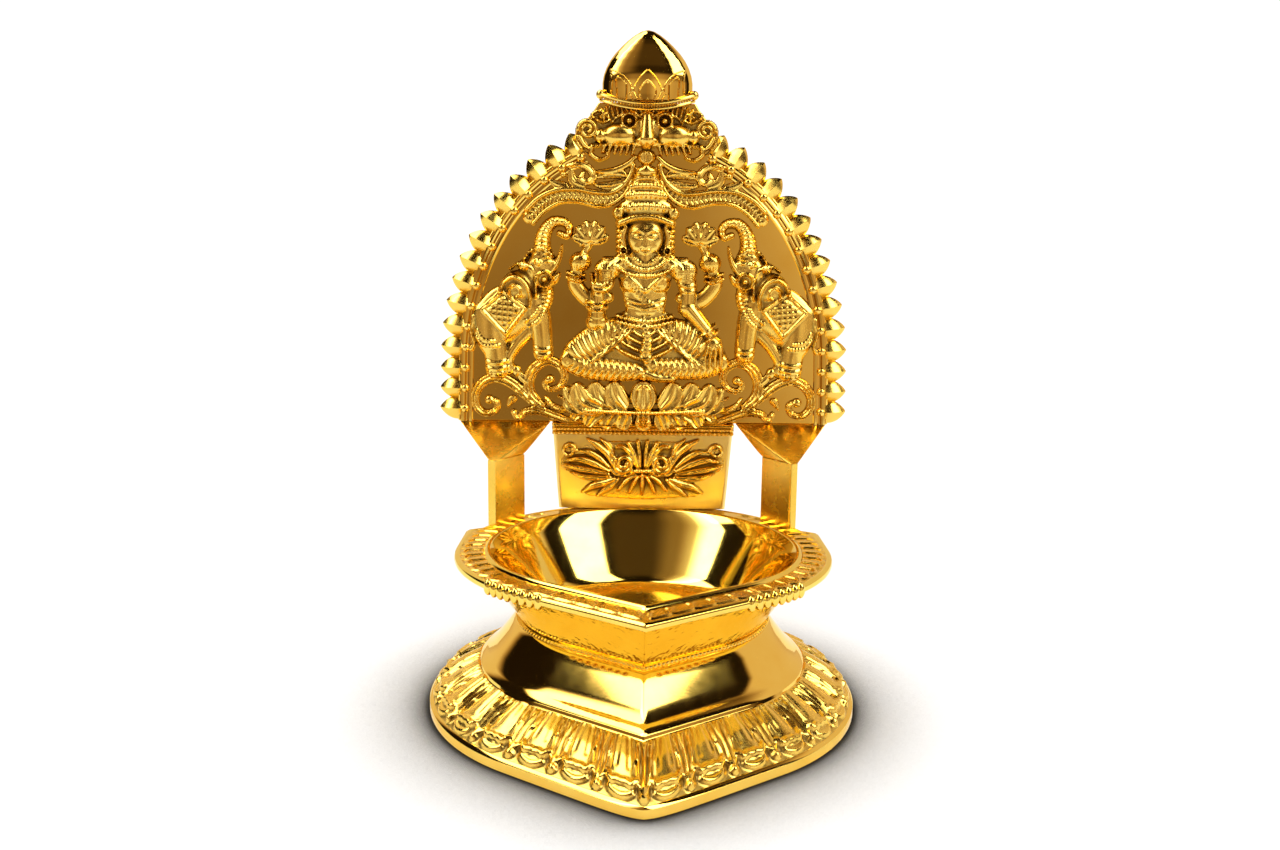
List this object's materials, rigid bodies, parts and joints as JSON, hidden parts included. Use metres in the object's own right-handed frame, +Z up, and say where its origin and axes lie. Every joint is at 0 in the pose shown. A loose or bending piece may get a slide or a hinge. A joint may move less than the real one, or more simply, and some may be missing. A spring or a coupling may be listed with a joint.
{
  "type": "standing oil lamp",
  "caption": "Brass oil lamp: a pointed bowl with a flat petalled rim on a flared hollow foot, and behind it an arched back plate in relief on two posts and a stem.",
  "frame": {"origin": "on the surface the lamp stands on, at the centre of the box round the foot", "axes": "+Z up; -Y to the front, where the bowl and foot come to a point; +X to the viewer's right"},
  "size_m": [0.1076, 0.111, 0.16],
  "materials": {
    "polished_brass": "mirror polished",
    "cast_brass": "cast relief, buffed on the high spots",
    "fastener_brass": "turned, dull"
  },
  "bodies": {
    "root": {"foot": "polished_brass", "oil_bowl": "polished_brass", "back_plate": "polished_brass", "finial": "polished_brass", "centre_stem": "polished_brass", "left_bracket": "polished_brass", "right_bracket": "polished_brass", "left_post": "polished_brass", "right_post": "polished_brass", "waist_beading": "cast_brass", "edge_buds": "cast_brass", "finial_collar": "cast_brass", "lion_mask": "cast_brass", "left_canopy": "cast_brass", "right_canopy": "cast_brass", "seated_figure": "cast_brass", "lotus_seat": "cast_brass", "left_elephant": "cast_brass", "right_elephant": "cast_brass", "left_scroll": "cast_brass", "right_scroll": "cast_brass", "sill_beading": "cast_brass", "stem_foliage": "cast_brass", "centre_stud": "fastener_brass", "stud_washer": "fastener_brass", "stud_nut": "fastener_brass", "rim_rivets": "fastener_brass"}
  },
  "joints": []
}
